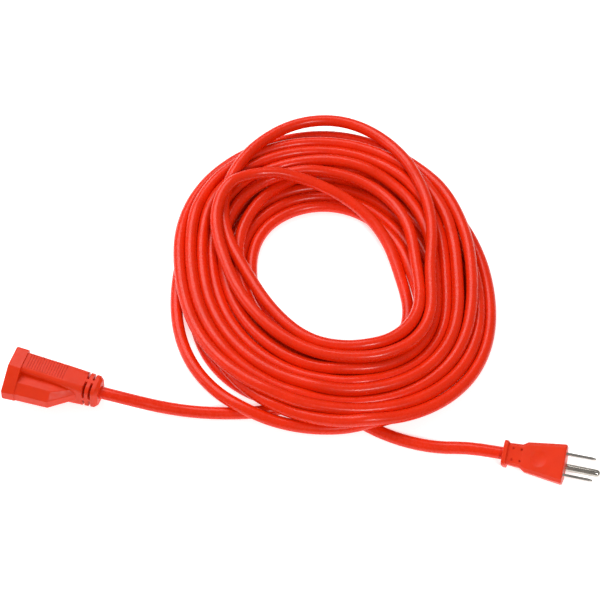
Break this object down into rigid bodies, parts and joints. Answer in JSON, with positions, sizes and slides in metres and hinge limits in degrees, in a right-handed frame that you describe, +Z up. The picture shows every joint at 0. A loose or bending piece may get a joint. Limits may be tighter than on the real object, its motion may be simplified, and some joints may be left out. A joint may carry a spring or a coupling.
{
  "type": "extension cord",
  "caption": "Round-jacketed grounded extension cord in a loose coil, with a moulded three-prong plug on one end and a moulded single connector on the other.",
  "frame": {"origin": "on the floor, midway between the connector's and the plug's ends, at the centre of the box round the two mouldings", "axes": "+X runs from the connector to the plug, +Y from the leads towards the coil, +Z up from the floor the cord lies on"},
  "size_m": [0.3636, 0.2826, 0.0293],
  "materials": {
    "moulded_vinyl": "satin orange-red vinyl, moulded",
    "cord_jacket": "semi-gloss orange-red vinyl, extruded",
    "insert_plastic": "matt, hard",
    "bridge_plastic": "matt, natural nylon",
    "plated_metal": "nickel-plated brass, polished",
    "contact_brass": "bare spring brass",
    "copper": "bare stranded copper",
    "line_insulation": "black vinyl",
    "neutral_insulation": "white vinyl",
    "ground_insulation": "green vinyl"
  },
  "bodies": {
    "root": {"plug_overmould": "moulded_vinyl", "plug_bridge": "bridge_plastic", "plug_line_blade": "plated_metal", "plug_neutral_blade": "plated_metal", "plug_ground_pin": "plated_metal", "socket_overmould": "moulded_vinyl", "socket_insert": "insert_plastic", "socket_line_contact": "contact_brass", "socket_neutral_contact": "contact_brass", "socket_ground_contact": "contact_brass", "plug_line_wire": "line_insulation", "plug_line_strands": "copper", "plug_neutral_wire": "neutral_insulation", "plug_neutral_strands": "copper", "plug_ground_wire": "ground_insulation", "plug_ground_strands": "copper", "socket_line_wire": "line_insulation", "socket_line_strands": "copper", "socket_neutral_wire": "neutral_insulation", "socket_neutral_strands": "copper", "socket_ground_wire": "ground_insulation", "socket_ground_strands": "copper", "connector_lead": "cord_jacket", "plug_lead": "cord_jacket", "cord_coil": "cord_jacket"}
  },
  "joints": []
}
